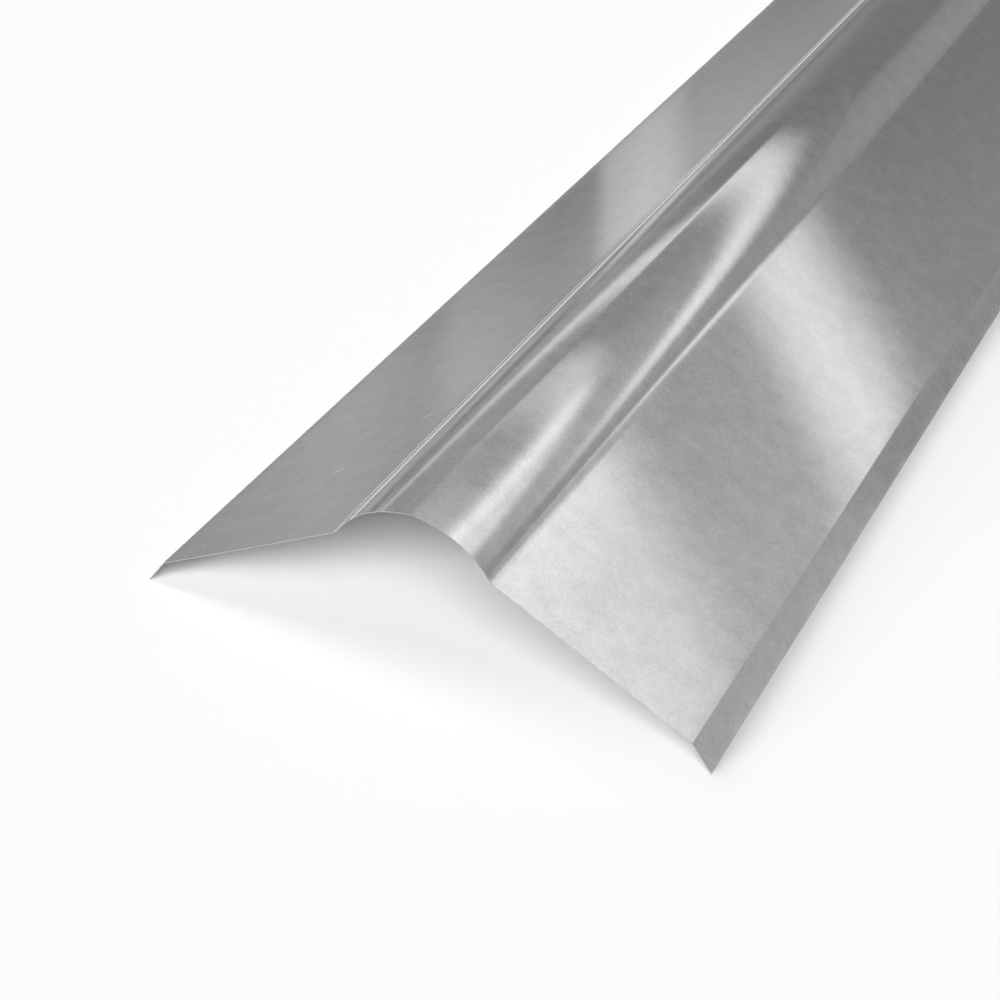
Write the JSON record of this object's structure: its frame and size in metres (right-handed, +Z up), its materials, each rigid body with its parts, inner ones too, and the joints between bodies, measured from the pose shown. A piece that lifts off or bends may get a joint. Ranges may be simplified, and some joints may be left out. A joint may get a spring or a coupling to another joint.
{
  "type": "roof ridge cap",
  "caption": "Roll-top roof ridge cap folded from galvanised steel sheet: a round roll along the crown, a sloping flange on each side and turned-down lips.",
  "frame": {"origin": "midway along the cap and midway between its lips, at the level of the cut edges it stands on", "axes": "+Y along the ridge, X across it, +Z up through the crown of the roll"},
  "size_m": [0.3898, 1.8, 0.1162],
  "materials": {
    "galvanised_sheet": "bare hot-dip galvanised sheet, satin, with a fine spangle"
  },
  "bodies": {
    "root": {"ridge_cap": "galvanised_sheet"}
  },
  "joints": []
}
